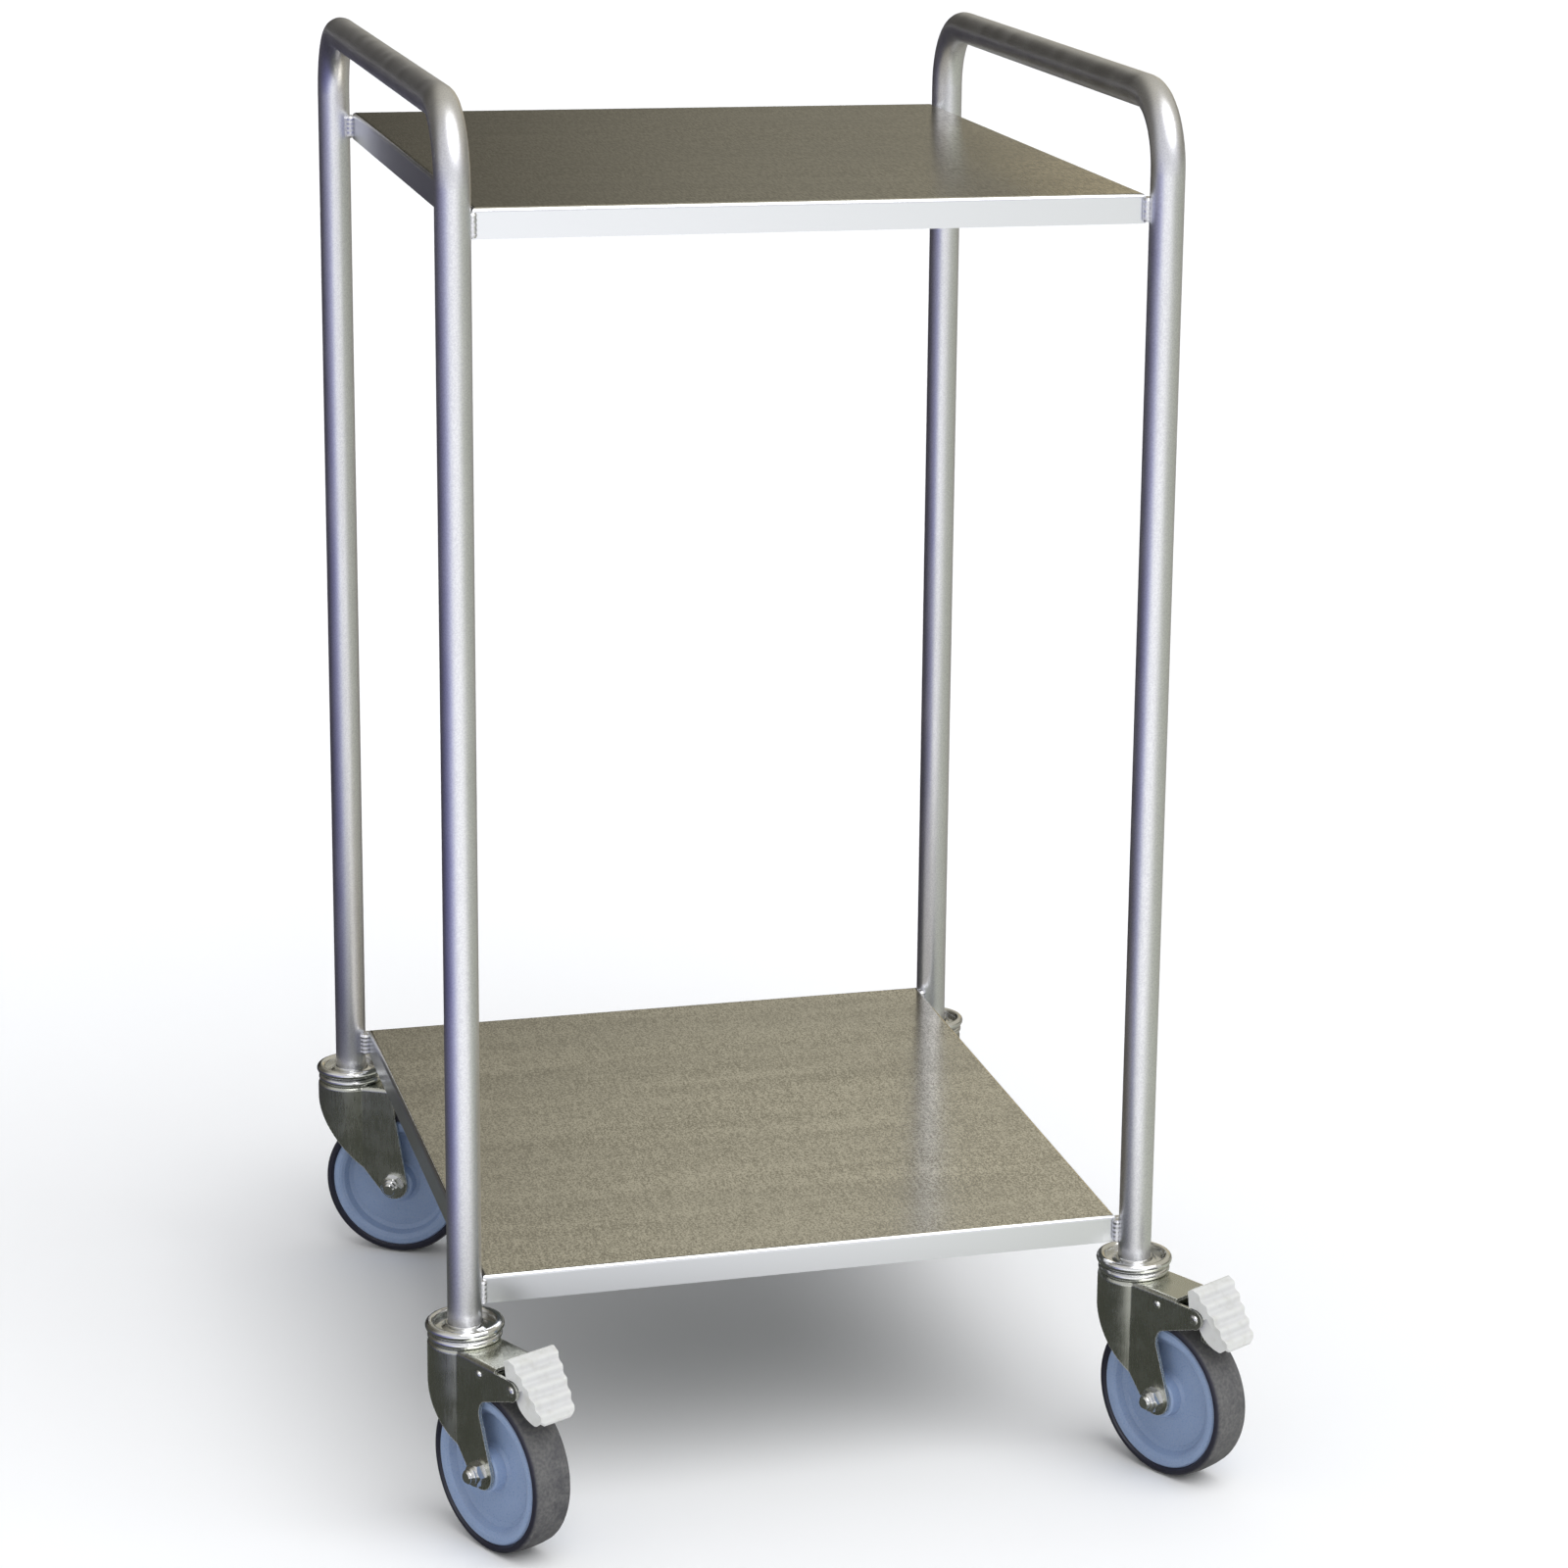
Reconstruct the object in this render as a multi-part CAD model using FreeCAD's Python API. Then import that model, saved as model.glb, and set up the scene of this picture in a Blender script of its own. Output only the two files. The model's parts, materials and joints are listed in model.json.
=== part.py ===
# Two-tier utility cart: two bent tube side frames carry two folded sheet shelves,
# and four swivel casters, the front two with a foot brake, screw up into the legs.
# Millimetres, +Z up, X across the cart, front towards -Y, floor at Z = 0.
import FreeCAD, Part
import math
import os

V = FreeCAD.Vector
os.makedirs("parts", exist_ok=True)

# Side frames: round tube bent twice into an upside-down U.
tube_d = 25.0
tube_wall = 1.5
bend_r = 52.0
handle_rise = 67.7

# Shelves: sheet pans with four flanges turned down.
shelf_x = 485.0
shelf_y = 550.0
sheet_t = 1.5
flange_h = 21.5
fold_r = 3.0
leg_foot = 34.65
shelf_pitch = 779.0
leg_gap = 1.8
leg_outset = 4.8
rib_w = 56.0
rib_foot = 15.0
rib_h = 16.0
rib_end_gap = 0.3

# Weld beads at the shelf corners.
bead_r = 4.1
bead_end_r = 3.4
bead_drop = 2.6
bead_ripple = 0.45
bead_lobes = 5
bead_tip = 2.6
bead_side_in = 3.4
bead_side_out = 1.0
bead_end_in = 0.4
bead_end_out = 2.2
bead_low = 1.5

# Swivel head: dished cup under the leg, balls, race ring on the fork crown.
wheel_d = 125.0
caster_trail = 43.5
crown_rise = 23.5
race_h = 6.0
race_r = 27.2
cup_gap = 0.35
cup_h = 7.4
cup_r = 28.8
rim_r = 3.5
dish_h = 2.5
foot_gap = 0.3
foot_w = 4.2
foot_h = 3.4
ball_d = 4.0
ball_ring_r = 17.5
ball_count = 8
ball_gap = 0.3
bolt_d = 12.0
bolt_head_d = 19.0
bolt_head_h = 6.0
bolt_up = 38.0
insert_len = 34.0
run_gap = 0.06
face_gap = 0.3

# Fork: pressed sheet, a round nose about the swivel axis running into two flat cheeks.
fork_t = 2.5
fork_half = 19.8
nose_r = 26.6
nose_shift = 1.2
nose_blend = 2.3
nose_lip = 5.6
skirt_drop = 18.0
skirt_rise = 42.0
crown_round = 3.7
crown_gap = 4.0
plate_rear = 61.0
plate_lip = 2.8
leg_round = 13.0
leg_front = 38.0
leg_back = 18.4
throat_z = 42.5
throat_r = 7.8
ear_a = 80.0
ear_drop = 10.6
ear_round = 7.7
rivet_a = 42.5
rivet_drop = 10.2
cheek_foot = 12.2
cheek_back = 9.5
cheek_top = 11.0
cheek_round = 8.5

# Wheel: moulded centre with an elastic tyre on a plain bush.
tyre_w = 32.0
tyre_h = 7.0
seat_key = 2.0
rim_half = 15.2
web_half = 6.5
hub_r = 15.5
bush_r = 10.0
sleeve_r = 7.2
axle_r = 5.0
hub_side_gap = 0.6
nut_af = 16.0
nut_h = 8.6
head_h = 6.4
washer_r = 9.8
washer_t = 1.4
axle_tail = 3.0
edge_cut = 1.2
web_blend = 2.0
hub_foot = 4.0
dish_in = 15.0
dish_mid = 11.5
lip_in = 9.0
lip_out = 5.0
tyre_round = 3.5
tyre_crown = 0.25
tyre_lip = 1.6
chamfer = 1.0
collar_h = 2.6
collar_in = 1.2

# Brake: ribbed foot pedal and a steel lever with its shoe above the tyre.
pin_r = 3.0
pin_head_r = 4.1
pin_head_h = 1.6
rivet_r = 2.5
rivet_head_r = 3.4
pedal_half = 20.6
pedal_len = 53.2
pedal_tip = 14.4
pedal_corner = 3.0
pedal_slope = 52.5
pedal_reach = 15.0
pedal_low = 6.0
pedal_t = 3.8
pedal_gap = 0.6
pedal_boss = 7.5
pedal_waves = 5
wave_h = 1.05
pedal_crown = 1.5
pedal_nose = 2.5
pedal_wall = 2.8
cheek_deep = 16.0
cheek_end = 6.6
lever_half = 8.5
lever_in = 4.6
lever_waist = 12.5
lever_out = 6.4
shoe_gap = 2.6
shoe_lift = 6.4
shoe_start = 57.5
shoe_end = 50.5
shoe_t = 5.6
spring_t = 0.8
spring_half = 5.6
spring_kink = 5.6
spring_lift = 0.8
spring_gap = 0.5

# Rest angle of each caster, trailing direction measured from +X.
casters = {"fl": (-1, -1, -63.4), "fr": (1, -1, -62.0), "rl": (-1, 1, -29.0), "rr": (1, 1, -100.0)}
braked = ("fl", "fr")

# Sizes that follow from the ones above.
tube_r = tube_d / 2
bore_r = tube_r - tube_wall
leg_x = shelf_x / 2 + leg_gap + tube_r
leg_y = shelf_y / 2 + leg_outset
wheel_r = wheel_d / 2
crown_z = wheel_d + crown_rise
ear_z = crown_z - ear_drop
rivet_z = crown_z - rivet_drop
cup_z = crown_z + race_h + cup_gap
tube_end_z = cup_z + dish_h
low_shelf_z = tube_end_z + leg_foot
top_shelf_z = low_shelf_z + shelf_pitch
handle_z = top_shelf_z + handle_rise
fork_in = fork_half - fork_t
hub_half = fork_in - hub_side_gap
seat_r = wheel_r - tyre_h


def profile(points):
    return Part.Face(Part.makePolygon([V(*p) for p in points + points[:1]]))


def turned(points):
    # Turn an outline of (radius, height) points about Z.
    face = profile([(r, 0, z) for r, z in points])
    return face.revolve(V(0, 0, 0), V(0, 0, 1), 360)


def rod(radius, length, base, axis):
    return Part.makeCylinder(radius, length, V(*base), V(*axis))


def across(outline, half):
    # Push a wire drawn in the side view (along the fork, up) out to both sides.
    face = Part.Face(outline)
    face.translate(V(0, -half, 0))
    return face.extrude(V(0, 2 * half, 0))


def side_wire(items):
    # Closed side-view wire from points, arcs (through, end) and splines (points).
    edges = []
    here = V(items[0][0], 0, items[0][1])
    first = here
    for item in items[1:]:
        pts = [V(a, 0, z) for a, z in (item if isinstance(item, list) else [item])]
        if len(pts) == 1:
            edges.append(Part.makeLine(here, pts[0]))
        elif len(pts) == 2:
            edges.append(Part.Arc(here, pts[0], pts[1]).toShape())
        else:
            curve = Part.BSplineCurve()
            curve.interpolate([here] + pts)
            edges.append(curve.toShape())
        here = pts[-1]
    if here.distanceToPoint(first) > 1e-6:
        edges.append(Part.makeLine(here, first))
    return Part.Wire(edges)


def cross_bore(radius, a, z):
    # Round hole right across the fork.
    return rod(radius, 4 * fork_half, (a, -2 * fork_half, z), (0, 1, 0))


def hexagon(af, height, z):
    # Hexagonal prism with its corners chamfered, standing on z.
    corner = af / math.sqrt(3)
    turn = [math.radians(60 * k) for k in range(6)]
    prism = profile([(corner * math.cos(t), corner * math.sin(t), z) for t in turn])
    prism = prism.extrude(V(0, 0, height))
    slope = corner - af / 2
    top = z + height
    blank = turned([(0, z), (corner, z), (corner, top - slope), (af / 2, top), (0, top)])
    return prism.common(blank)


def tube_path(side, radius):
    # One run of the tube: up the front leg, over the handle and down the rear leg.
    x = side * leg_x
    k = bend_r * (1 - math.sqrt(0.5))
    low_f, low_r = V(x, -leg_y, tube_end_z), V(x, leg_y, tube_end_z)
    top = handle_z
    bend_z = top - bend_r
    path = Part.Wire([
        Part.makeLine(low_f, V(x, -leg_y, bend_z)),
        Part.Arc(V(x, -leg_y, bend_z), V(x, -leg_y + k, top - k), V(x, -leg_y + bend_r, top)).toShape(),
        Part.makeLine(V(x, -leg_y + bend_r, top), V(x, leg_y - bend_r, top)),
        Part.Arc(V(x, leg_y - bend_r, top), V(x, leg_y - k, top - k), V(x, leg_y, bend_z)).toShape(),
        Part.makeLine(V(x, leg_y, bend_z), low_r)])
    ring = Part.Wire(Part.makeCircle(radius, low_f, V(0, 0, 1)))
    return path.makePipeShell([ring], True, True)


def pan(top_z):
    # Folded shelf: rounded along its four top edges, open underneath.
    def block(inset, drop, radius):
        box = Part.makeBox(shelf_x - 2 * inset, shelf_y - 2 * inset, flange_h - drop,
                           V(inset - shelf_x / 2, inset - shelf_y / 2, top_z - flange_h))
        high = [e for e in box.Edges if e.BoundBox.ZMin > top_z - drop - 0.01]
        return box.makeFillet(radius, high)
    return block(0, 0, fold_r).cut(block(sheet_t, sheet_t, fold_r - sheet_t))


def shelf_rib(top_z):
    # Hat channel across the underside of the sheet, between the side flanges.
    z0 = top_z - sheet_t
    w, f, h, t = rib_w / 2, rib_foot, rib_h, sheet_t
    outer = [(-w - f, z0), (-w - f, z0 - t), (-w - t, z0 - t), (-w, z0 - h), (w, z0 - h),
             (w + t, z0 - t), (w + f, z0 - t), (w + f, z0), (w, z0), (w - t, z0 - h + t),
             (-w + t, z0 - h + t), (-w, z0)]
    half = shelf_x / 2 - fold_r - rib_end_gap
    return profile([(-half, y, z) for y, z in outer]).extrude(V(2 * half, 0, 0))


def bead(x, y, radius, low, high):
    # Upright run of weld metal with a rippled surface.
    step = (high - low) / bead_lobes
    pts = [(0, low)]
    for k in range(bead_lobes):
        pts.append((radius - bead_ripple if k else bead_tip, low + k * step))
        pts.append((radius, low + (k + 0.5) * step))
    pts.append((bead_tip, high))
    pts.append((0, high))
    run = turned(pts)
    run.translate(V(x, y, 0))
    return run


def corner_welds(top_z, shelf):
    low, high = top_z - flange_h + bead_low, top_z - bead_drop
    welds = []
    for sx in (-1, 1):
        for sy in (-1, 1):
            side = bead(sx * (shelf_x / 2 + leg_gap + bead_side_out), sy * (shelf_y / 2 - bead_side_in),
                        bead_r, low, high)
            end = bead(sx * (shelf_x / 2 + bead_end_in), sy * (shelf_y / 2 + bead_end_out),
                       bead_end_r, low, high)
            leg = rod(tube_r, 2 * flange_h, (sx * leg_x, sy * leg_y, top_z - 1.5 * flange_h), (0, 0, 1))
            block = Part.makeBox(shelf_x - 2 * sheet_t, shelf_y - 2 * sheet_t, 2 * flange_h,
                                 V(sheet_t - shelf_x / 2, sheet_t - shelf_y / 2, top_z - 1.5 * flange_h))
            metal = side.fuse(end).cut(leg).cut(shelf).cut(block)
            welds.append(max(metal.Solids, key=lambda s: s.Volume))
    return Part.makeCompound(welds)


def swivel_cup():
    # Dished cup: rounded rim, coved foot round the leg, flat floor under it, groove for the balls.
    z = cup_z
    floor = z + dish_h
    leg_r = tube_r + foot_gap
    rim_c = cup_r - rim_r
    rim_z = z + cup_h - rim_r
    rim = [(rim_c + rim_r * math.cos(math.radians(t)), rim_z + rim_r * math.sin(math.radians(t)))
           for t in range(180, -91, -18)]
    cove = [(leg_r, floor), (leg_r, floor + foot_h), (leg_r + foot_w / 6, floor + foot_h),
            (leg_r + foot_w / 3, floor + foot_h / 3), (leg_r + foot_w, floor)]
    bore = [(bolt_d / 2, z), (bolt_d / 2, floor)]
    dish = turned(bore + cove + [(rim_c - rim_r, floor)] + rim + [(rim_c, z)])
    groove = Part.makeTorus(ball_ring_r, ball_d / 2 + ball_gap, V(0, 0, z - cup_gap / 2))
    return dish.cut(groove)


def race_ring():
    # Rounded ring on the fork crown that the balls run on.
    z = crown_z
    r = race_h / 2
    edge = [(race_r - r + r * math.cos(math.radians(t)), z + r + r * math.sin(math.radians(t)))
            for t in range(-90, 91, 18)]
    bore = bolt_d / 2 + crown_gap
    ring = turned([(bore, z)] + edge + [(bore, z + race_h)])
    groove = Part.makeTorus(ball_ring_r, ball_d / 2, V(0, 0, cup_z - cup_gap / 2))
    return ring.cut(groove)


def ball_set():
    balls = []
    for k in range(ball_count):
        t = 2 * math.pi * k / ball_count
        balls.append(Part.makeSphere(ball_d / 2, V(ball_ring_r * math.cos(t), ball_ring_r * math.sin(t),
                                                   cup_z - cup_gap / 2)))
    return Part.makeCompound(balls)


def king_bolt():
    # Bolt from under the crown, up through the cup into the leg.
    top = crown_z - fork_t - face_gap
    head = hexagon(bolt_head_d, bolt_head_h, -bolt_head_h)
    head.rotate(V(0, 0, 0), V(1, 0, 0), 180)
    head.translate(V(0, 0, top - bolt_head_h))
    shank = rod(bolt_d / 2, tube_end_z + bolt_up - top, (0, 0, top), (0, 0, 1))
    return head.fuse(shank).removeSplitter()


def leg_insert():
    blank = rod(bore_r, insert_len, (0, 0, tube_end_z), (0, 0, 1))
    return blank.cut(rod(bolt_d / 2, insert_len, (0, 0, tube_end_z), (0, 0, 1)))


def fork_plan(inset, rear):
    # Plan of the fork: round nose, a hollow blend each side, then two straight cheeks.
    half = fork_half - inset
    nose = nose_r - inset
    blend = nose_blend + inset
    run = math.sqrt((nose + blend) ** 2 - (half + blend) ** 2)
    turn_a = run - nose_shift
    turn = math.atan2(half + blend, run)
    mid = (turn + math.pi / 2) / 2
    hub = V(turn_a, -half - blend, 0)

    def flip(v):
        return V(v.x, -v.y, 0)
    on_nose = V(nose * math.cos(turn) - nose_shift, -nose * math.sin(turn), 0)
    on_blend = hub + V(-blend * math.cos(mid), blend * math.sin(mid), 0)
    on_cheek = V(turn_a, -half, 0)
    end = V(rear, -half, 0)
    return Part.Face(Part.Wire([
        Part.Arc(flip(on_nose), V(-nose_shift - nose, 0, 0), on_nose).toShape(),
        Part.Arc(on_nose, on_blend, on_cheek).toShape(),
        Part.makeLine(on_cheek, end),
        Part.makeLine(end, flip(end)),
        Part.makeLine(flip(end), flip(on_cheek)),
        Part.Arc(flip(on_cheek), flip(on_blend), flip(on_nose)).toShape()]))


def fork(brake):
    # Pressed shell cut to its side view: hooked skirt, axle leg and, with a brake, two ears.
    a0, z0 = caster_trail, wheel_r
    rear = ear_a + 2 * ear_round if brake else plate_rear
    outer = fork_plan(0, rear).extrude(V(0, 0, crown_z))
    rim = [e for e in outer.Edges if e.BoundBox.ZMin > crown_z - fork_t and e.BoundBox.XMin < 0]
    outer = outer.makeFillet(crown_round, rim)
    inner = fork_plan(fork_t, 2 * rear).extrude(V(0, 0, crown_z - fork_t))
    shell = outer.cut(inner)
    front, over = -2 * nose_r, crown_z + fork_t
    lip = crown_z - nose_lip
    tip = -nose_shift - nose_r
    foot = leg_round if brake else cheek_foot
    lean, slant = math.radians(leg_front), math.radians(leg_back if brake else cheek_back)

    def rear_edge(z):
        # Rear edge of the leg at a height above the axle: a straight line that touches the round foot.
        return a0 + foot / math.cos(slant) - z * math.tan(slant)
    toe = V(a0 - foot * math.cos(lean), 0, z0 - foot * math.sin(lean))
    skirt = Part.BezierCurve()
    skirt.setPoles([V(tip, 0, lip), V(tip, 0, lip - skirt_drop),
                    toe + V(-skirt_rise * math.tan(lean), 0, skirt_rise), toe])
    head = [Part.makeLine(V(front, 0, over), V(front, 0, lip)),
            Part.makeLine(V(front, 0, lip), V(tip, 0, lip)), skirt.toShape()]
    sole = (a0 + foot * math.sin((lean - slant) / 2), z0 - foot * math.cos((lean - slant) / 2))
    leg = [(toe.x, toe.z), [sole, (a0 + foot * math.cos(slant), z0 + foot * math.sin(slant))]]
    if brake:
        under = crown_z - fork_t - face_gap
        throat = z0 + throat_z
        edge = rear_edge(throat_z)
        back = [(edge, throat), [(edge, throat + throat_r), (edge + throat_r / 2, throat + 1.75 * throat_r)],
                (ear_a, ear_z - ear_round), [(ear_a + ear_round, ear_z), (ear_a, ear_z + ear_round)],
                (plate_rear + plate_lip, under), (plate_rear, under), (plate_rear, over)]
    else:
        edge = rear_edge(crown_z - cheek_top - z0)
        back = [(edge, crown_z - cheek_top),
                [(edge - cheek_round / 3, crown_z - cheek_round / 3), (edge - cheek_round, over)]]
    outline = Part.Wire(head + side_wire(leg + back + [(front, over)]).Edges[:-1])
    body = shell.common(across(outline, 2 * nose_r))
    body = body.cut(cross_bore(axle_r, a0, z0))
    body = body.cut(rod(bolt_d / 2 + run_gap, 2 * fork_half, (0, 0, crown_z - fork_half), (0, 0, 1)))
    if brake:
        body = body.cut(cross_bore(pin_r, ear_a, ear_z)).cut(cross_bore(rivet_r, rivet_a, rivet_z))
    return max(body.Solids, key=lambda s: s.Volume)


def on_axle(shape):
    # Lay a piece turned about Z onto the wheel axis.
    shape.rotate(V(0, 0, 0), V(1, 0, 0), 90)
    shape.translate(V(caster_trail, 0, wheel_r))
    return shape


def wheel_centre():
    # Moulded centre: hub, dished web and a raised lip just inside the tyre.
    half = [(bush_r, 0), (bush_r, hub_half), (hub_r - edge_cut, hub_half), (hub_r, hub_half - edge_cut),
            (hub_r + edge_cut, web_half + web_blend), (hub_r + hub_foot, web_half),
            (seat_r - dish_in, web_half), (seat_r - dish_mid, web_half + web_blend),
            (seat_r - lip_in, rim_half - web_blend),
            (seat_r - (lip_in + lip_out) / 2, rim_half - edge_cut / 2), (seat_r - lip_out, rim_half),
            (seat_r - edge_cut, rim_half), (seat_r, rim_half - edge_cut),
            (seat_r, seat_key * 3), (seat_r + seat_key, seat_key * 2), (seat_r + seat_key, 0)]
    lower = [(r, -z) for r, z in reversed(half[1:-1])]
    return on_axle(turned(half + lower))


def tyre():
    # Elastic tyre keyed on to the centre, with round shoulders and a slightly crowned tread.
    w, q = tyre_w / 2, tyre_round
    half = [(seat_r + seat_key, 0), (seat_r + seat_key, seat_key * 2), (seat_r, seat_key * 3),
            (seat_r, rim_half - edge_cut), (seat_r + tyre_lip / 2, w - edge_cut), (seat_r + tyre_lip, w)]
    inner = wheel_r - 3 * tyre_crown - q
    turn = [math.radians(t) for t in (75, 55, 35, 15)]
    shoulder = [(inner + q * math.cos(t), w - q + q * math.sin(t)) for t in turn]
    half = half + shoulder + [(wheel_r - tyre_crown, w / 2), (wheel_r, w / 5)]
    lower = [(r, -z) for r, z in reversed(half[1:])]
    return on_axle(turned(half + lower))


def hub_bush():
    r = sleeve_r + run_gap
    h = hub_half
    return on_axle(turned([(r, -h), (bush_r, -h), (bush_r, h), (r, h)]))


def axle_sleeve():
    h = fork_in
    return on_axle(turned([(axle_r, -h), (sleeve_r, -h), (sleeve_r, h), (axle_r, h)]))


def axle_bolt():
    # Hexagon bolt, head on one side of the fork, chamfered tail past the nut on the other.
    out = fork_half
    tail = out + washer_t + nut_h + axle_tail
    point = tail - chamfer
    shank = turned([(0, -out), (axle_r, -out), (axle_r, point), (axle_r - chamfer, tail), (0, tail)])
    head = hexagon(nut_af, head_h, out)
    head.rotate(V(0, 0, 0), V(1, 0, 0), 180)
    return on_axle(shank.fuse(head).removeSplitter())


def axle_nut():
    # Washer and self-locking nut with its rounded collar.
    out = fork_half
    z = out + washer_t
    top = z + nut_h
    collar_r = nut_af / 2 - collar_in
    washer = turned([(axle_r, out), (washer_r, out), (washer_r, z), (axle_r, z)])
    nut = hexagon(nut_af, nut_h - collar_h, z).cut(rod(axle_r, nut_h, (0, 0, z), (0, 0, 1)))
    collar = turned([(axle_r, z + collar_h), (collar_r, z + collar_h), (collar_r, top - chamfer),
                     (collar_r - chamfer, top), (axle_r, top)])
    return on_axle(washer.fuse(nut).fuse(collar).removeSplitter())


def headed_pin(radius, head_r, a, z):
    # Rivet through both cheeks with a low domed head on each end.
    h = pin_head_h
    out = fork_half
    half = [(0, out + h), (head_r * 0.55, out + h * 0.86), (head_r * 0.88, out + h * 0.5), (head_r, out),
            (radius, out)]
    pin = turned([(r, z) for r, z in half] + [(r, -z) for r, z in reversed(half)])
    pin.rotate(V(0, 0, 0), V(1, 0, 0), 90)
    pin.translate(V(a, 0, z))
    return pin


def brake_spring():
    # Leaf spring rolled round the rivet, its free end just short of the lever hub.
    eye = rod(rivet_r + spring_t, 2 * spring_half, (rivet_a, -spring_half, rivet_z), (0, 1, 0))
    z = rivet_z + rivet_r
    end = ear_a - pedal_boss - spring_gap
    kink, rise = end - spring_kink, spring_gap
    leaf = across(side_wire([(rivet_a, z), (rivet_a, z + spring_t), (kink, z + spring_t + rise),
                             (end, z + spring_t + spring_lift), (end, z + spring_lift), (kink, z + rise)]),
                  spring_half)
    return eye.fuse(leaf).cut(cross_bore(rivet_r, rivet_a, rivet_z)).removeSplitter()


def off_tyre(angle, gap):
    # Side-view point behind the wheel, at an angle above the axle and a gap from the tyre.
    t = math.radians(angle)
    return (caster_trail + (wheel_r + gap) * math.cos(t), wheel_r + (wheel_r + gap) * math.sin(t))


def brake_lever():
    # Steel lever: hub on the pivot, bent arm, and a shoe that swings onto the tyre.
    hub = rod(pedal_boss, 2 * lever_half, (ear_a, -lever_half, ear_z), (0, 1, 0))
    toe, heel = off_tyre(shoe_start, shoe_gap), off_tyre(shoe_end, shoe_lift)
    back = off_tyre(shoe_end, shoe_lift + shoe_t)
    waist = ear_z - lever_waist
    far = ear_a + lever_out
    edge = side_wire([(ear_a - lever_in, ear_z - lever_in), [(ear_a - lever_in / 2, waist), toe], heel, back,
                      [(far - chamfer, waist), (far, ear_z - lever_in / 2)]])
    arm = across(edge, lever_half)
    return hub.fuse(arm).cut(cross_bore(pin_r + run_gap, ear_a, ear_z)).removeSplitter()


def brake_pedal(lever):
    # Moulded foot pedal: sloping tread with a waved skin, side cheeks round the ears, boss between them.
    c, s = math.cos(math.radians(pedal_slope)), math.sin(math.radians(pedal_slope))
    foot = (ear_a + s * pedal_reach + c * pedal_low, ear_z + c * pedal_reach - s * pedal_low)

    def at(along, out):
        # Side-view point from distances down the tread and out of it.
        return (foot[0] + along * c + out * s, foot[1] - along * s + out * c)
    half = pedal_len / 2
    steps = 8 * pedal_waves
    wave = []
    for k in range(steps + 1):
        share = 2 * k / steps - 1
        swell = pedal_crown * (1 - share * share) - wave_h * math.cos(2 * math.pi * pedal_waves * k / steps)
        wave.append(at(share * (half - pedal_nose / 2), swell))
    skin = [at(-half, -pedal_nose), wave[0], wave[1:], at(half, -pedal_nose)]
    tread = side_wire([at(-half, -pedal_t)] + skin + [at(half, -pedal_t)])
    hollow_arc = [at(half / 2, -cheek_deep), at(0, -cheek_deep)]
    inside = [at(half, -cheek_end), hollow_arc, at(-half / 2, -cheek_deep)]
    cheek = side_wire([at(-half, -cheek_end)] + skin + inside)
    web = across(cheek, pedal_half).cut(across(cheek, pedal_half - pedal_wall))
    clear = rod(ear_round + pedal_gap, 2 * pedal_half, (ear_a, -pedal_half, ear_z), (0, 1, 0))
    past = Part.makeBox(pedal_len, 2 * pedal_half, pedal_len + ear_round + pedal_gap,
                        V(ear_a - pedal_len, -pedal_half, ear_z - pedal_len))
    body = across(tread, pedal_half).fuse(web.cut(clear).cut(past))
    width = fork_in - pedal_gap
    core = across(cheek, width).cut(across(cheek, width - pedal_wall))
    boss = rod(pedal_boss, 2 * width, (ear_a, -width, ear_z), (0, 1, 0))
    hollow = rod(pedal_boss, 2 * lever_half, (ear_a, -lever_half, ear_z), (0, 1, 0))
    body = body.fuse(core).fuse(boss).cut(hollow).cut(lever).cut(cross_bore(pin_r + run_gap, ear_a, ear_z))
    near = pedal_tip + (pedal_half - pedal_tip) * pedal_corner / pedal_len
    edge = [(-half, pedal_half), (half - pedal_corner, near), (half, pedal_tip - pedal_corner)]
    ring = [(t, y) for t, y in edge] + [(t, -y) for t, y in reversed(edge)]
    plan = profile([(at(t, -pedal_len)[0], y, at(t, -pedal_len)[1]) for t, y in ring])
    body = body.common(plan.extrude(V(2 * pedal_len * s, 0, 2 * pedal_len * c)))
    return max(body.Solids, key=lambda s: s.Volume)


nodes = {}
for name, side in (("left", -1), ("right", 1)):
    nodes[name + "_side_frame"] = tube_path(side, tube_r).cut(tube_path(side, bore_r))
for name, z in (("bottom", low_shelf_z), ("top", top_shelf_z)):
    nodes[name + "_shelf"] = pan(z)
    nodes[name + "_shelf_rib"] = shelf_rib(z)
    nodes[name + "_shelf_welds"] = corner_welds(z, nodes[name + "_shelf"])


def seat(shape, caster):
    # Turn a caster piece to its rest angle and stand it under its leg.
    sx, sy, angle = casters[caster]
    piece = shape.copy()
    piece.rotate(V(0, 0, 0), V(0, 0, 1), angle)
    piece.translate(V(sx * leg_x, sy * leg_y, 0))
    return piece


for name, shape in (("leg_inserts", leg_insert()), ("swivel_cups", swivel_cup()),
                    ("king_bolts", king_bolt())):
    nodes[name] = Part.makeCompound([seat(shape, c) for c in casters])

each = {"race": race_ring(), "balls": ball_set(), "axle_sleeve": axle_sleeve(), "axle_bolt": axle_bolt(),
        "axle_nut": axle_nut(), "tyre": tyre(), "wheel_centre": wheel_centre(), "hub_bush": hub_bush()}
forks = {True: fork(True), False: fork(False)}
lever = brake_lever()
brake = {"brake_lever": lever, "brake_pedal": brake_pedal(lever), "brake_spring": brake_spring(),
         "brake_pin": headed_pin(pin_r, pin_head_r, ear_a, ear_z),
         "brake_rivet": headed_pin(rivet_r, rivet_head_r, rivet_a, rivet_z)}
for c in casters:
    nodes["fork_" + c] = seat(forks[c in braked], c)
    for name, shape in each.items():
        nodes[name + "_" + c] = seat(shape, c)
    if c in braked:
        for name, shape in brake.items():
            nodes[name + "_" + c] = seat(shape, c)

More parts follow.
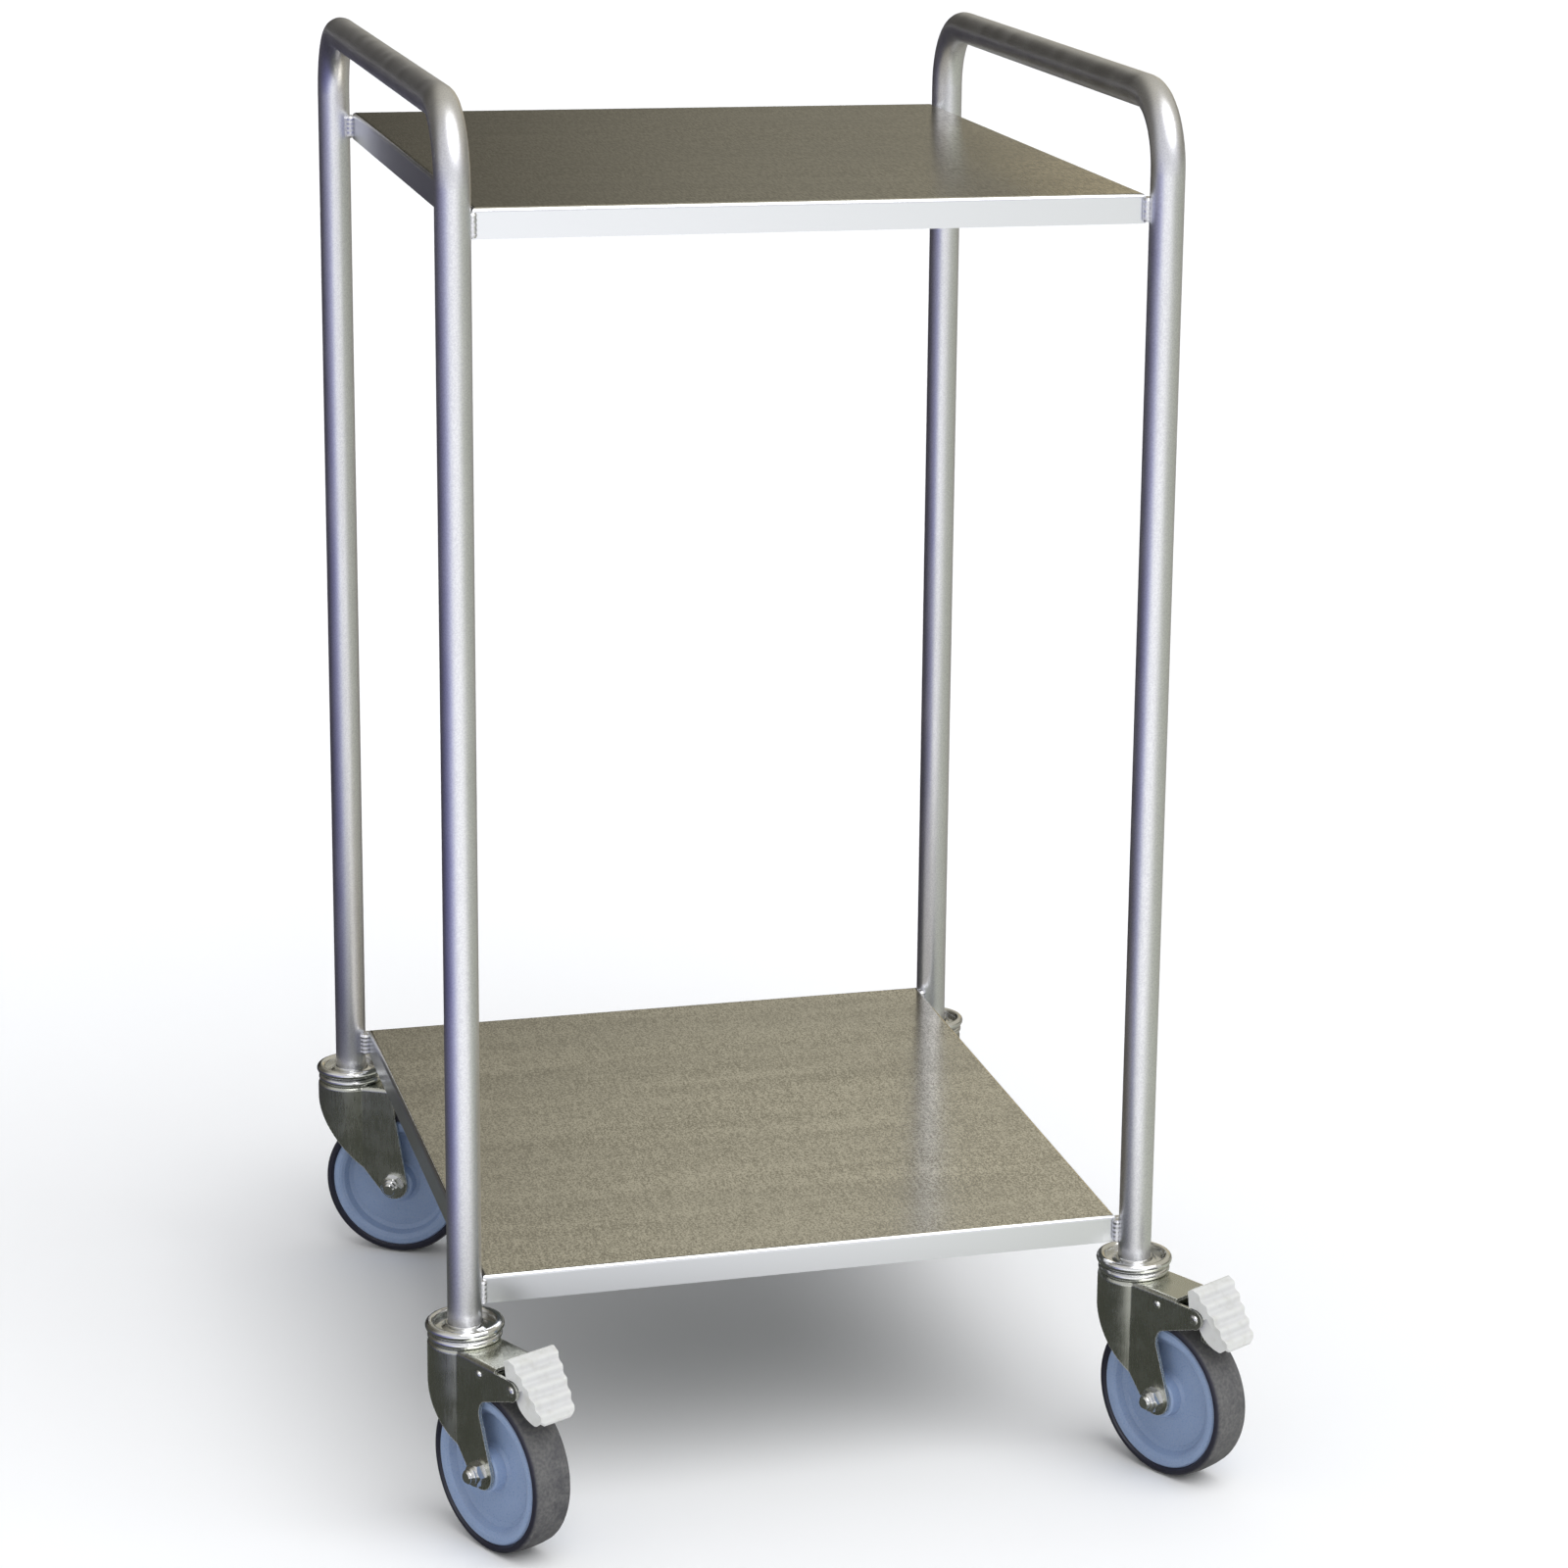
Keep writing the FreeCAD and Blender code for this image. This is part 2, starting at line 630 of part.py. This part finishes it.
# The origin is the middle of the footprint on the floor.
whole = FreeCAD.BoundBox()
for shape in nodes.values():
    whole.add(shape.optimalBoundingBox())
shift = V(-whole.Center.x, -whole.Center.y, -whole.ZMin)
print("shift %.4f %.4f %.4f" % (shift.x, shift.y, shift.z))
print("size %.2f %.2f %.2f" % (whole.XLength, whole.YLength, whole.ZLength))
for name, shape in nodes.items():
    shape.translate(shift)
    shape.exportStep("parts/" + name + ".step")
    print(name, "solids", len(shape.Solids), "valid", shape.isValid(), "volume %.0f" % shape.Volume)
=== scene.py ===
# A two-tier utility cart: bent tube side frames, two folded sheet shelves and four swivel casters.
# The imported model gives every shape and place; the sections below follow the cart as it is put together.
import json
import math

import bpy
from mathutils import Matrix, Vector


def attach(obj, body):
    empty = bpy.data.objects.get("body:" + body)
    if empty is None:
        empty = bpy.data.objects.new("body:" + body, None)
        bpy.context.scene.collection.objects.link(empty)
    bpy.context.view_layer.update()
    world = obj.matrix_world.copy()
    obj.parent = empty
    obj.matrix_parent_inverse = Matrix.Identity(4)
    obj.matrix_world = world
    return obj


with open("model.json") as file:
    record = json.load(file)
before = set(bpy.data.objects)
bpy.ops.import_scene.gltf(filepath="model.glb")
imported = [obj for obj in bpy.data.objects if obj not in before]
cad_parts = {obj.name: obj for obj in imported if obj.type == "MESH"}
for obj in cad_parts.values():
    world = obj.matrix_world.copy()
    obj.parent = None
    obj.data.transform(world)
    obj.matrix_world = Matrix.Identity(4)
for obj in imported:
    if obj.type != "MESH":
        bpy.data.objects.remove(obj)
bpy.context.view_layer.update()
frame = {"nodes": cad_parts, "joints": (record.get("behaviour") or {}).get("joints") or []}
cart = frame["nodes"]


# Side frames.
# Each is one round stainless tube bent twice, so it is front leg, handle and rear leg in one.
# The tube is satin ground round its girth, and the shelves are welded to its inner side.
tube_grey, tube_pale = (0.76, 0.765, 0.79, 1), (0.82, 0.825, 0.84, 1)
tube_pit = (0.56, 0.56, 0.60, 1)
tube_rough = (0.31, 0.42)
tube_pit_depth = 0.0004


def new_finish(name):
    finish = bpy.data.materials.new(name)
    finish.use_nodes = True
    return finish, finish.node_tree.nodes["Principled BSDF"]


def node(finish, kind, settings=None, **sockets):
    # Adds one shader node. A socket goes by its name, or by i and its number,
    # and takes a plain value or another node's output.
    tree = finish.node_tree
    made = tree.nodes.new("ShaderNode" + kind)
    for key, value in (settings or {}).items():
        setattr(made, key, value)
    for key, value in sockets.items():
        numbered = key[0] == "i" and key[1:].isdigit()
        socket = made.inputs[int(key[1:]) if numbered else key.replace("_", " ")]
        if isinstance(value, bpy.types.NodeSocket):
            tree.links.new(value, socket)
        else:
            socket.default_value = value
    return made


def feed(finish, shader, **sockets):
    # Leads node outputs into the named sockets of the finish's main shader.
    for key, value in sockets.items():
        finish.node_tree.links.new(value, shader.inputs[key.replace("_", " ")])


def place_of(finish):
    return node(finish, "TexCoord").outputs["Object"]


def grain(finish, place, per_metre, detail=3.0, stretch=(1, 1, 1)):
    # Noise in grains per metre; a stretch below one draws the grains out along that axis.
    spread = node(finish, "Mapping", Vector=place, Scale=stretch).outputs["Vector"]
    return node(finish, "TexNoise", Vector=spread, Scale=per_metre, Detail=detail).outputs["Fac"]


def band(finish, value, low, high, to_low=0.0, to_high=1.0):
    # Takes a value from one range to another, with soft ends.
    return node(finish, "MapRange", {"interpolation_type": "SMOOTHSTEP"}, Value=value, From_Min=low,
                From_Max=high, To_Min=to_low, To_Max=to_high).outputs["Result"]


def blend(finish, share, first, second):
    # Goes from the first colour to the second as the share goes from nought to one.
    return node(finish, "Mix", {"data_type": "RGBA"}, i0=share, i6=first, i7=second).outputs[2]


def sums(finish, way, first, second):
    return node(finish, "Math", {"operation": way}, i0=first, i1=second).outputs[0]


def bump(finish, shader, height, strength, depth):
    raised = node(finish, "Bump", Strength=strength, Distance=depth, Height=height)
    feed(finish, shader, Normal=raised.outputs["Normal"])


def dress(finish, *names):
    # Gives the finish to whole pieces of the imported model.
    for name in names:
        cart[name].data.materials.clear()
        cart[name].data.materials.append(finish)


tube_finish, shader = new_finish("satin_tube")
where = place_of(tube_finish)
mottle = grain(tube_finish, where, 46, stretch=(1, 1, 0.35))
fine = grain(tube_finish, where, 900, detail=4)
tone = blend(tube_finish, mottle, tube_grey, tube_pale)
pits = band(tube_finish, fine, 0.35, 0.65, 0.0, 0.5)
feed(tube_finish, shader, Base_Color=blend(tube_finish, pits, tone, tube_pit))
rubbed = sums(tube_finish, "ADD", mottle, fine)
feed(tube_finish, shader, Roughness=band(tube_finish, rubbed, 0.6, 1.4, *tube_rough))
shader.inputs["Metallic"].default_value = 1.0
bump(tube_finish, shader, fine, 0.12, tube_pit_depth)
dress(tube_finish, "left_side_frame", "right_side_frame")


# Shelves and their stiffeners.
# Stainless sheet, four edges folded down with a small round bend, a hat channel spot welded underneath.
# The face has a dull warm speckle from the mill; the upright folded edges take a paler, bluer colour chosen by
# which way they face, a painted highlight for the light they catch.
mill_dull, mill_lit = (0.40, 0.378, 0.318, 1), (0.95, 0.92, 0.82, 1)
mill_cloud = (0.55, 0.535, 0.485, 1)
flange_highlight = (0.79, 0.805, 0.835, 1)
fold_rough, face_rough = 0.30, 0.17
mill_grain_depth = 0.0004
top_lay, bottom_lay = 0.13, 0.6


def sheet_finish(name, lay):
    # The speckle lies drawn out along the shelf's depth where the lay is below one.
    finish, shader = new_finish(name)
    where = place_of(finish)
    speckle = grain(finish, where, 820, stretch=(1, lay, 1))
    cloud = grain(finish, where, 9, detail=4, stretch=(0.35, 1, 1))
    rolled = grain(finish, where, 45, detail=4, stretch=(0.12, 1, 1))
    drawn = grain(finish, where, 560, stretch=(1, 0.1, 1))
    streak = sums(finish, "ADD", speckle, sums(finish, "MULTIPLY", rolled, 0.2))
    streak = sums(finish, "ADD", streak, sums(finish, "MULTIPLY", drawn, 0.25))
    mill = blend(finish, band(finish, streak, 0.53, 0.92), mill_dull, mill_lit)
    mill = blend(finish, band(finish, cloud, 0.3, 0.7, 0.0, 0.3), mill, mill_cloud)
    true = node(finish, "NewGeometry").outputs["Normal"]
    # Painted highlight: faces that do not look up take the paler, bluer flange colour instead of the mill
    # speckle.
    flat = band(finish, node(finish, "SeparateXYZ", Vector=true).outputs["Z"], 0.75, 0.98)
    feed(finish, shader, Base_Color=blend(finish, flat, flange_highlight, mill))
    grit = sums(finish, "MULTIPLY", streak, flat)
    feed(finish, shader, Roughness=band(finish, grit, 0.0, 1.0, fold_rough, face_rough))
    shader.inputs["Metallic"].default_value = 1.0
    bump(finish, shader, grit, 0.05, mill_grain_depth)
    return finish


dress(sheet_finish("satin_top_sheet", top_lay), "top_shelf", "top_shelf_rib")
dress(sheet_finish("satin_bottom_sheet", bottom_lay), "bottom_shelf", "bottom_shelf_rib")


# Welds at the shelf corners.
# Each corner flange is joined to its leg by an upright run of weld metal.
# The runs are wire brushed afterwards and left bare.
weld_grey, weld_pale = (0.62, 0.63, 0.66, 1), (0.84, 0.84, 0.86, 1)
weld_rough = (0.28, 0.46)
weld_scale_depth = 0.0008

weld_finish, shader = new_finish("brushed_weld")
scale = grain(weld_finish, place_of(weld_finish), 420, detail=4)
feed(weld_finish, shader, Base_Color=blend(weld_finish, scale, weld_grey, weld_pale))
feed(weld_finish, shader, Roughness=band(weld_finish, scale, 0.3, 0.7, *weld_rough))
shader.inputs["Metallic"].default_value = 1.0
bump(weld_finish, shader, scale, 0.35, weld_scale_depth)
dress(weld_finish, "top_shelf_welds", "bottom_shelf_welds")


# Swivel heads.
# A dished cup under each leg and a race ring on each fork crown, both pressed and bright plated, run on balls.
# A king bolt holds them together and screws up into the insert in the leg.
plate_grey, plate_pale = (0.70, 0.71, 0.72, 1), (0.84, 0.84, 0.82, 1)
plate_rough = (0.10, 0.26)
plate_scuff_depth = 0.0003
short = {"front_left": "fl", "front_right": "fr", "rear_left": "rl", "rear_right": "rr"}

plate_finish, shader = new_finish("bright_plate")
where = place_of(plate_finish)
cast = grain(plate_finish, where, 90)
scuff = grain(plate_finish, where, 700, detail=2, stretch=(1, 1, 6))
feed(plate_finish, shader, Base_Color=blend(plate_finish, cast, plate_grey, plate_pale))
feed(plate_finish, shader, Roughness=band(plate_finish, scuff, 0.3, 0.75, *plate_rough))
shader.inputs["Metallic"].default_value = 1.0
bump(plate_finish, shader, scuff, 0.06, plate_scuff_depth)
dress(plate_finish, "swivel_cups", "king_bolts", "leg_inserts")
for c in short.values():
    dress(plate_finish, "race_" + c, "balls_" + c)


# Forks.
# Pressed from one steel sheet: a round nose under the race runs into two flat cheeks, then zinc plated.
# The front pair have ears for the brake; every sharp edge takes a paler, less metallic colour, a painted
# highlight.
zinc_dull, zinc_pale = (0.52, 0.53, 0.47, 1), (0.62, 0.63, 0.57, 1)
zinc_edge_highlight = (0.80, 0.80, 0.76, 1)
cut_edge_reach = 0.0009
cut_edge_metal = 0.35
zinc_rough = (0.20, 0.34)
zinc_line_depth = 0.0003


def edges(finish, reach):
    # A mask for painted highlights where the surface turns sharply: how far a softened normal leaves the true
    # one.
    soft = node(finish, "Bevel", {"samples": 6}, Radius=reach).outputs["Normal"]
    true = node(finish, "NewGeometry").outputs["Normal"]
    agree = node(finish, "VectorMath", {"operation": "DOT_PRODUCT"}, i0=soft, i1=true).outputs["Value"]
    return band(finish, agree, 0.98, 0.75)


zinc_finish, shader = new_finish("zinc_sheet")
where = place_of(zinc_finish)
cloud = grain(zinc_finish, where, 60, detail=4)
drawn = grain(zinc_finish, where, 900, stretch=(1, 1, 0.08))
tone = blend(zinc_finish, cloud, zinc_dull, zinc_pale)
# Painted highlight: sharp edges turn paler and less metallic so that they catch light.
edge_highlight = edges(zinc_finish, cut_edge_reach)
feed(zinc_finish, shader, Base_Color=blend(zinc_finish, edge_highlight, tone, zinc_edge_highlight))
feed(zinc_finish, shader, Metallic=band(zinc_finish, edge_highlight, 0.0, 1.0, 1.0, cut_edge_metal))
handled = sums(zinc_finish, "ADD", cloud, drawn)
feed(zinc_finish, shader, Roughness=band(zinc_finish, handled, 0.6, 1.4, *zinc_rough))
bump(zinc_finish, shader, drawn, 0.03, zinc_line_depth)
for c in short.values():
    dress(zinc_finish, "fork_" + c)


# Axles.
# A hexagon bolt through both fork cheeks with a spacer sleeve, a washer and a self-locking nut.
# The bolt's tail stands out of the nut and shows its last turns of rolled thread.
axle_radius = 0.005
thread_pitch = 0.0015
thread_rise = 0.00035
thread_foot = 0.42 * thread_pitch
thread_steps = 28
tail_chamfer = 0.0008
joint = {j["name"]: j for j in frame["joints"]}


def along(name, start, way):
    # Lowest and highest reach of a node along a line.
    reach = [(v.co - start).dot(way) for v in cart[name].data.vertices]
    return min(reach), max(reach)


def rolled_thread(corner, c):
    # One closed helical ridge, three points to a step, on the tail between the nut and the chamfer.
    axle = joint[corner + "_roll"]
    start, way = Vector(axle["pos_m"]), Vector(axle["axis"]).normalized()
    nut_low, nut_high = along("axle_nut_" + c, start, way)
    if abs(nut_low) > abs(nut_high):
        way = -way
    nut_end = along("axle_nut_" + c, start, way)[1]
    tail_end = along("axle_bolt_" + c, start, way)[1] - tail_chamfer
    side = way.orthogonal().normalized()
    other = way.cross(side)
    steps = int(thread_steps * (tail_end - nut_end - thread_pitch) / thread_pitch)
    points, faces = [], []
    for k in range(steps + 1):
        turn = 2 * math.pi * k / thread_steps
        out = side * math.cos(turn) + other * math.sin(turn)
        far = nut_end + thread_pitch * (0.5 + k / thread_steps)
        for rise, step in ((0, -thread_foot), (thread_rise, 0), (0, thread_foot)):
            points.append(start + out * (axle_radius + rise) + way * (far + step))
    for k in range(steps):
        low, high = 3 * k, 3 * k + 3
        faces += [(low + i, low + (i + 1) % 3, high + (i + 1) % 3, high + i) for i in range(3)]
    faces += [(2, 1, 0), (3 * steps, 3 * steps + 1, 3 * steps + 2)]
    mesh = bpy.data.meshes.new("axle_thread_" + c)
    mesh.from_pydata(points, [], faces)
    mesh.materials.append(plate_finish)
    thread = bpy.data.objects.new("axle_thread_" + c, mesh)
    bpy.context.scene.collection.objects.link(thread)
    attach(thread, corner + "_caster")


for corner, c in short.items():
    dress(plate_finish, "axle_bolt_" + c, "axle_nut_" + c, "axle_sleeve_" + c)
    rolled_thread(corner, c)


# Wheel centres and their bushes.
# A blue grey moulding with a raised lip just inside the tyre, fine pores and a painted highlight that makes
# its sharp edges paler.
# A milky nylon bush is pressed into its hub and runs on the axle's sleeve.
centre_blue, centre_pale = (0.228, 0.312, 0.490, 1), (0.270, 0.360, 0.545, 1)
centre_pore = (0.33, 0.40, 0.53, 1)
centre_edge_highlight = (0.30, 0.34, 0.44, 1)
centre_edge_reach = 0.001
centre_rough = (0.26, 0.42)
centre_pore_depth = 0.0004
bush_cream, bush_pale = (0.60, 0.59, 0.53, 1), (0.68, 0.67, 0.61, 1)
bush_rough = (0.38, 0.5)

centre_finish, shader = new_finish("moulded_centre")
where = place_of(centre_finish)
pores = grain(centre_finish, where, 850)
haze = grain(centre_finish, where, 55, detail=4)
tone = blend(centre_finish, haze, centre_blue, centre_pale)
tone = blend(centre_finish, band(centre_finish, pores, 0.45, 0.75, 0.0, 0.55), tone, centre_pore)
# Painted highlight: sharp edges take a paler colour.
edge_highlight = edges(centre_finish, centre_edge_reach)
feed(centre_finish, shader, Base_Color=blend(centre_finish, edge_highlight, tone, centre_edge_highlight))
feed(centre_finish, shader, Roughness=band(centre_finish, pores, 0.3, 0.7, *centre_rough))
bump(centre_finish, shader, pores, 0.12, centre_pore_depth)

bush_finish, shader = new_finish("nylon_bush")
milk = grain(bush_finish, place_of(bush_finish), 300)
feed(bush_finish, shader, Base_Color=blend(bush_finish, milk, bush_cream, bush_pale))
feed(bush_finish, shader, Roughness=band(bush_finish, milk, 0.3, 0.7, *bush_rough))

for c in short.values():
    dress(centre_finish, "wheel_centre_" + c)
    dress(bush_finish, "hub_bush_" + c)


# Tyres.
# A dark elastic ring moulded round each wheel centre.
# Its walls keep their blue black; the tread is dulled by floor dust and scuffed in patches.
wall_dark, wall_pale = (0.016, 0.016, 0.030, 1), (0.024, 0.024, 0.042, 1)
tread_dust = (0.140, 0.139, 0.136, 1)
tread_reach = (0.0600, 0.0618)
wall_rough, tread_rough = 0.42, 0.78
rubber_pore_depth = 0.0005


def tyre_finish(corner):
    # Rubber that knows its own axle, so that dust lies on the tread alone.
    finish, shader = new_finish("tyre_" + corner)
    where = place_of(finish)
    axle = joint[corner + "_roll"]
    out = node(finish, "VectorMath", {"operation": "SUBTRACT"}, i0=where, i1=axle["pos_m"]).outputs["Vector"]
    around = node(finish, "VectorMath", {"operation": "CROSS_PRODUCT"}, i0=out, i1=axle["axis"])
    radius = node(finish, "VectorMath", {"operation": "LENGTH"}, i0=around.outputs["Vector"]).outputs["Value"]
    dust = grain(finish, where, 420, detail=5)
    pores = grain(finish, where, 1800, detail=2)
    scuff = grain(finish, where, 60, detail=6)
    dusty = band(finish, dust, 0.3, 0.7, 0.55, 1.0)
    scuffed = band(finish, scuff, 0.36, 0.5, 0.72, 1.0)
    rubbed = sums(finish, "MULTIPLY", dusty, scuffed)
    worn = sums(finish, "MULTIPLY", band(finish, radius, *tread_reach), rubbed)
    wall = blend(finish, dust, wall_dark, wall_pale)
    feed(finish, shader, Base_Color=blend(finish, worn, wall, tread_dust))
    feed(finish, shader, Roughness=band(finish, worn, 0.0, 1.0, wall_rough, tread_rough))
    bump(finish, shader, sums(finish, "ADD", pores, dust), 0.14, rubber_pore_depth)
    return finish


for corner, c in short.items():
    dress(tyre_finish(corner), "tyre_" + c)


# Foot brakes.
# An off-white moulded pedal turns on a pin through the fork's ears; a steel lever in it carries the shoe.
# A leaf spring round the rivet holds the pedal up.
pedal_white, pedal_grime = (0.655, 0.66, 0.645, 1), (0.57, 0.57, 0.54, 1)
pedal_groove_shade = (0.50, 0.50, 0.53, 1)
pedal_groove_reach = 0.008
pedal_edge_highlight = (0.70, 0.70, 0.69, 1)
pedal_edge_reach = 0.0012
pedal_rough = (0.42, 0.6)
pedal_pore_depth = 0.0004

pedal_finish, shader = new_finish("moulded_pedal")
where = place_of(pedal_finish)
pores = grain(pedal_finish, where, 1600)
grime = grain(pedal_finish, where, 120, detail=5)
tone = blend(pedal_finish, band(pedal_finish, grime, 0.45, 0.75), pedal_white, pedal_grime)
# Painted shade: the grooves between the tread's ribs are darkened by an occlusion mask.
groove_shade = node(pedal_finish, "AmbientOcclusion", {"samples": 8}, Distance=pedal_groove_reach).outputs["AO"]
tone = blend(pedal_finish, band(pedal_finish, groove_shade, 0.70, 0.98), pedal_groove_shade, tone)
# Painted highlight: sharp edges are paler.
edge_highlight = edges(pedal_finish, pedal_edge_reach)
feed(pedal_finish, shader, Base_Color=blend(pedal_finish, edge_highlight, tone, pedal_edge_highlight))
feed(pedal_finish, shader, Roughness=band(pedal_finish, pores, 0.3, 0.7, *pedal_rough))
bump(pedal_finish, shader, pores, 0.12, pedal_pore_depth)
for c in ("fl", "fr"):
    dress(pedal_finish, "brake_pedal_" + c)
    dress(zinc_finish, "brake_lever_" + c)
    dress(plate_finish, "brake_pin_" + c, "brake_rivet_" + c, "brake_spring_" + c)


# Floor and backdrop.
# A wide pale floor takes the cart's shadow, and a tall ring of white paper stands round it.
# The paper shows to the camera alone and puts no light on the cart.
floor_reach = 60.0
floor_grey, floor_pale = (0.945, 0.95, 0.955, 1), (0.96, 0.965, 0.97, 1)
paper_radius, paper_height, paper_sides = 58.0, 40.0, 64
paper_white = (1, 1, 1, 1)


def stage_sheet(name, points, faces):
    mesh = bpy.data.meshes.new(name)
    mesh.from_pydata(points, [], faces)
    sheet = bpy.data.objects.new(name, mesh)
    bpy.context.scene.collection.objects.link(sheet)
    return sheet


def flat_sheet(name, reach, height):
    near = [(-reach, -reach, height), (reach, -reach, height)]
    far = [(reach, reach, height), (-reach, reach, height)]
    return stage_sheet(name, near + far, [(0, 1, 2, 3)])


floor = flat_sheet("floor", floor_reach, 0.0)
floor_finish, shader = new_finish("pale_floor")
shade = grain(floor_finish, place_of(floor_finish), 3)
feed(floor_finish, shader, Base_Color=blend(floor_finish, shade, floor_grey, floor_pale))
shader.inputs["Roughness"].default_value = 0.9
shader.inputs["Specular IOR Level"].default_value = 0.0
floor.data.materials.append(floor_finish)

rims, panels = [], []
for z in (0.0, paper_height):
    for k in range(paper_sides):
        turn = 2 * math.pi * k / paper_sides
        rims.append((paper_radius * math.cos(turn), paper_radius * math.sin(turn), z))
for k in range(paper_sides):
    after = (k + 1) % paper_sides
    panels.append((k, after, paper_sides + after, paper_sides + k))
paper = stage_sheet("backdrop", rims, panels)
paper_finish, shader = new_finish("white_paper")
shader.inputs["Base Color"].default_value = (0, 0, 0, 1)
shader.inputs["Specular IOR Level"].default_value = 0.0
shader.inputs["Emission Color"].default_value = paper_white
shader.inputs["Emission Strength"].default_value = 1.0
paper.data.materials.append(paper_finish)
paper.visible_diffuse = False
paper.visible_glossy = False
paper.visible_transmission = False
paper.visible_shadow = False


# Camera.
# It stands before the cart and to its left, at head height, and looks a little down.
# Its place and lens were fitted to the photograph.
eye = Vector((-0.7440, -3.0072, 1.3722))
heading, tilt, lean = 0.2982, -0.2463, 0.0207

camera_data = bpy.data.cameras.new("camera")
camera_data.lens = 94.62
camera_data.sensor_width = 36.0
camera_data.shift_x = -0.125
camera_data.shift_y = -0.0875
camera_data.clip_end = 200.0
camera = bpy.data.objects.new("camera", camera_data)
camera.matrix_world = (Matrix.Translation(eye) @ Matrix.Rotation(-heading, 4, "Z")
                       @ Matrix.Rotation(math.pi / 2 + tilt, 4, "X") @ Matrix.Rotation(lean, 4, "Z"))
bpy.context.scene.collection.objects.link(camera)
bpy.context.scene.camera = camera
bpy.context.scene.view_settings.view_transform = "Standard"


# Flag.
# A glowing sheet just over the floor that shows only in bright metal, a painted reflection: white before
# the cart, grey to its right, blue and then dark to its left and behind, with a dark patch near the left legs.
flag_reach, flag_height = 40.0, 0.002
flag_glow = 1.30
reflection_dark_patch = (0.060, 0.063, 0.054, 1)
patch_middle, patch_rim = (-0.25, 0, 0), (0.50, 0.85)
# Degrees round from the camera's side, to the left below zero, and the painted reflection's tone there.
flag_tones = (
    (-180, (0.027, 0.025, 0.023, 1)),
    (-105, (0.040, 0.038, 0.056, 1)),
    (-80, (0.064, 0.062, 0.150, 1)),
    (-55, (0.118, 0.118, 0.270, 1)),
    (-35, (0.385, 0.395, 0.64, 1)),
    (-15, (0.96, 0.97, 1.0, 1)),
    (22, (1.0, 1.0, 1.0, 1)),
    (55, (0.42, 0.435, 0.37, 1)),
    (110, (0.36, 0.37, 0.31, 1)),
    (150, (0.27, 0.26, 0.23, 1)),
    (180, (0.08, 0.07, 0.055, 1)),
)

flag = flat_sheet("flag", flag_reach, flag_height)
flag_finish, shader = new_finish("painted_reflection_sheet")
flag_finish.node_tree.nodes.remove(shader)
where = place_of(flag_finish)
faced = node(flag_finish, "Mapping", Vector=where, Rotation=(0, 0, math.pi / 2 + heading)).outputs["Vector"]
sweep = node(flag_finish, "TexGradient", {"gradient_type": "RADIAL"}, Vector=faced).outputs["Fac"]
reflection_ramp = node(flag_finish, "ValToRGB", Fac=sweep)
stops = reflection_ramp.color_ramp.elements
for k, (turn, tone) in enumerate(flag_tones):
    stop = stops[k] if k < 2 else stops.new(1.0)
    stop.position = 0.5 + turn / 360
    stop.color = tone
reach = node(flag_finish, "VectorMath", {"operation": "DISTANCE"}, i0=where, i1=patch_middle).outputs["Value"]
patch = band(flag_finish, reach, *patch_rim)
lit = blend(flag_finish, patch, reflection_dark_patch, reflection_ramp.outputs["Color"])
glow = node(flag_finish, "Emission", Color=lit, Strength=flag_glow).outputs["Emission"]
flag_finish.node_tree.links.new(glow, flag_finish.node_tree.nodes["Material Output"].inputs["Surface"])
flag.data.materials.append(flag_finish)
flag.visible_camera = False
flag.visible_diffuse = False
flag.visible_transmission = False
flag.visible_shadow = False


# Lamp and room.
# One broad soft lamp high on the camera's side, and an even room light on everything that is not bright metal.
# Metal sees the room itself: dim and warm behind, a dark doorway straight back, pale on the camera's side.
lamp_strength = 1.75
lamp_spread = math.radians(55)
lamp_turn = (math.radians(34), 0, math.radians(27))
room_even = (0.64, 0.645, 0.66, 1)
wall_low, wall_high = (0.200, 0.188, 0.150, 1), (0.54, 0.515, 0.435, 1)
wall_warm = (0.62, 0.52, 0.33, 1)
corner_dark = (0.105, 0.098, 0.080, 1)
doorway_dark = (0.022, 0.020, 0.017, 1)
camera_pale = (0.74, 0.74, 0.77, 1)
warm_way, corner_way, doorway_way = (0.485, 0.864, 0.13), (-0.707, 0.707, 0), (-0.121, 0.981, 0.152)
camera_way = (-math.sin(heading), -math.cos(heading), 0)

key_light = bpy.data.lights.new("key", "SUN")
key_light.energy = lamp_strength
key_light.angle = lamp_spread
key = bpy.data.objects.new("key", key_light)
key.rotation_euler = lamp_turn
bpy.context.scene.collection.objects.link(key)

room = bpy.data.worlds.new("room")
room.use_nodes = True
bpy.context.scene.world = room
view_way = node(room, "TexCoord").outputs["Generated"]


def towards(way, start, full):
    # Nought away from the way given, one where a direction in the room agrees with it fully.
    agree = node(room, "VectorMath", {"operation": "DOT_PRODUCT"}, i0=view_way, i1=way).outputs["Value"]
    return band(room, agree, start, full)


height = node(room, "SeparateXYZ", Vector=view_way).outputs["Z"]
wall = blend(room, band(room, height, 0.12, 0.42), wall_low, wall_high)
wall = blend(room, towards(warm_way, 0.970, 0.998), wall, wall_warm)
wall = blend(room, towards(corner_way, 0.40, 0.85), wall, corner_dark)
wall = blend(room, towards(doorway_way, 0.925, 0.985), wall, doorway_dark)
wall = blend(room, towards(camera_way, -0.2, 0.7), wall, camera_pale)
soft = node(room, "LightPath").outputs["Is Diffuse Ray"]
wall = blend(room, soft, wall, room_even)
room.node_tree.links.new(wall, room.node_tree.nodes["Background"].inputs["Color"])
